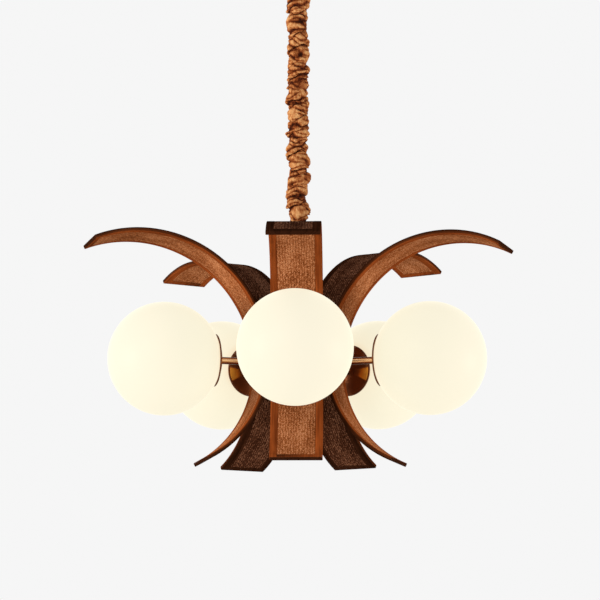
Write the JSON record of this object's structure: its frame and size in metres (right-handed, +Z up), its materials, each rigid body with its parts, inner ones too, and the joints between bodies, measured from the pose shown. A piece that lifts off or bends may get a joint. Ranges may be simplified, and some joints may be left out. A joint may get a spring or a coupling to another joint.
{
  "type": "pendant chandelier",
  "caption": "Hanging light of C-bent woven strips round a hub, each with an opal globe in its hollow, on a chain in a gathered cloth sleeve.",
  "frame": {"origin": "where the hanging axis meets the ceiling, midway between the bracket's two screw holes", "axes": "+Z up into the ceiling, -Y towards the front frond, +X to the right seen from the front"},
  "size_m": [0.7625, 0.7383, 0.9578],
  "materials": {
    "steel": "zinc plated",
    "pipe_steel": "threaded, plated",
    "dark_brass": "dark antique, satin",
    "antique_brass": "antique, polished on the high spots",
    "chain_steel": "brown plated",
    "flex_cover": "smooth brown insulation",
    "lead_cover": "plain insulation",
    "block_plastic": "moulded",
    "glazed_ceramic": "glazed white",
    "frosted_glass": "frosted inside",
    "opal_glass": "opal, smooth, lit from inside",
    "stained_wood": "dark brown stain, satin varnish",
    "woven_cane": "tight weave under clear varnish",
    "hemp_cloth": "coarse open weave, gathered"
  },
  "bodies": {
    "ceiling": {"ceiling_bracket": "steel", "terminal_block": "block_plastic", "ceiling_leads": "lead_cover", "canopy_pipe": "pipe_steel", "pipe_nuts": "steel", "canopy": "dark_brass", "canopy_loop": "dark_brass", "flex_ceiling": "flex_cover"},
    "first_link": {"top_link": "chain_steel", "flex_top_link": "flex_cover"},
    "sleeved_chain": {"chain": "chain_steel", "flex_chain": "flex_cover", "hemp_sleeve": "hemp_cloth"},
    "last_link": {"bottom_link": "chain_steel", "flex_bottom_link": "flex_cover"},
    "fixture": {"hub_loop": "dark_brass", "hub_pipe": "pipe_steel", "hub_pipe_nut": "steel", "hub_body": "dark_brass", "junction_block": "block_plastic", "hub_cover": "dark_brass", "finial": "dark_brass", "flex_hub": "flex_cover", "arm_leads": "lead_cover", "arm_lock_nuts": "steel", "arm_spacers": "antique_brass", "saddle_washers": "antique_brass", "arm_collar_nuts": "antique_brass", "cup_pipes": "pipe_steel", "globe_galleries": "dark_brass", "lampholders": "glazed_ceramic", "outer_weaves": "woven_cane", "inner_weaves": "woven_cane", "frond_front": "stained_wood", "frond_right": "stained_wood", "frond_back_right": "stained_wood", "frond_back_left": "stained_wood", "frond_left": "stained_wood", "arm_front": "antique_brass", "arm_right": "antique_brass", "arm_back_right": "antique_brass", "arm_back_left": "antique_brass", "arm_left": "antique_brass", "cup_front": "antique_brass", "cup_right": "antique_brass", "cup_back_right": "antique_brass", "cup_back_left": "antique_brass", "cup_left": "antique_brass", "bulb_front": "frosted_glass", "bulb_right": "frosted_glass", "bulb_back_right": "frosted_glass", "bulb_back_left": "frosted_glass", "bulb_left": "frosted_glass"},
    "front_globe": {"globe_front": "opal_glass"},
    "right_globe": {"globe_right": "opal_glass"},
    "back_right_globe": {"globe_back_right": "opal_glass"},
    "back_left_globe": {"globe_back_left": "opal_glass"},
    "left_globe": {"globe_left": "opal_glass"}
  },
  "joints": [
    {"name": "first_link_swing", "type": "hinge", "parent": "ceiling", "child": "first_link", "pos_m": [0, 0, -0.089], "axis": [0, 1, 0], "range_deg": [-15, 15]},
    {"name": "chain_swing", "type": "hinge", "parent": "first_link", "child": "sleeved_chain", "pos_m": [0, 0, -0.1303], "axis": [1, 0, 0], "range_deg": [-15, 15]},
    {"name": "last_link_swing", "type": "hinge", "parent": "sleeved_chain", "child": "last_link", "pos_m": [0, 0, -0.6695], "axis": [1, 0, 0], "range_deg": [-15, 15]},
    {"name": "fixture_swing", "type": "hinge", "parent": "last_link", "child": "fixture", "pos_m": [0, 0, -0.7108], "axis": [0, 1, 0], "range_deg": [-15, 15]},
    {"name": "front_globe_off", "type": "slide", "parent": "fixture", "child": "front_globe", "axis": [0, -1, 0], "range_m": [0, 0.1]},
    {"name": "right_globe_off", "type": "slide", "parent": "fixture", "child": "right_globe", "axis": [0.9511, -0.309, 0], "range_m": [0, 0.1]},
    {"name": "back_right_globe_off", "type": "slide", "parent": "fixture", "child": "back_right_globe", "axis": [0.5878, 0.809, 0], "range_m": [0, 0.1]},
    {"name": "back_left_globe_off", "type": "slide", "parent": "fixture", "child": "back_left_globe", "axis": [-0.5878, 0.809, 0], "range_m": [0, 0.1]},
    {"name": "left_globe_off", "type": "slide", "parent": "fixture", "child": "left_globe", "axis": [-0.9511, -0.309, 0], "range_m": [0, 0.1]}
  ]
}
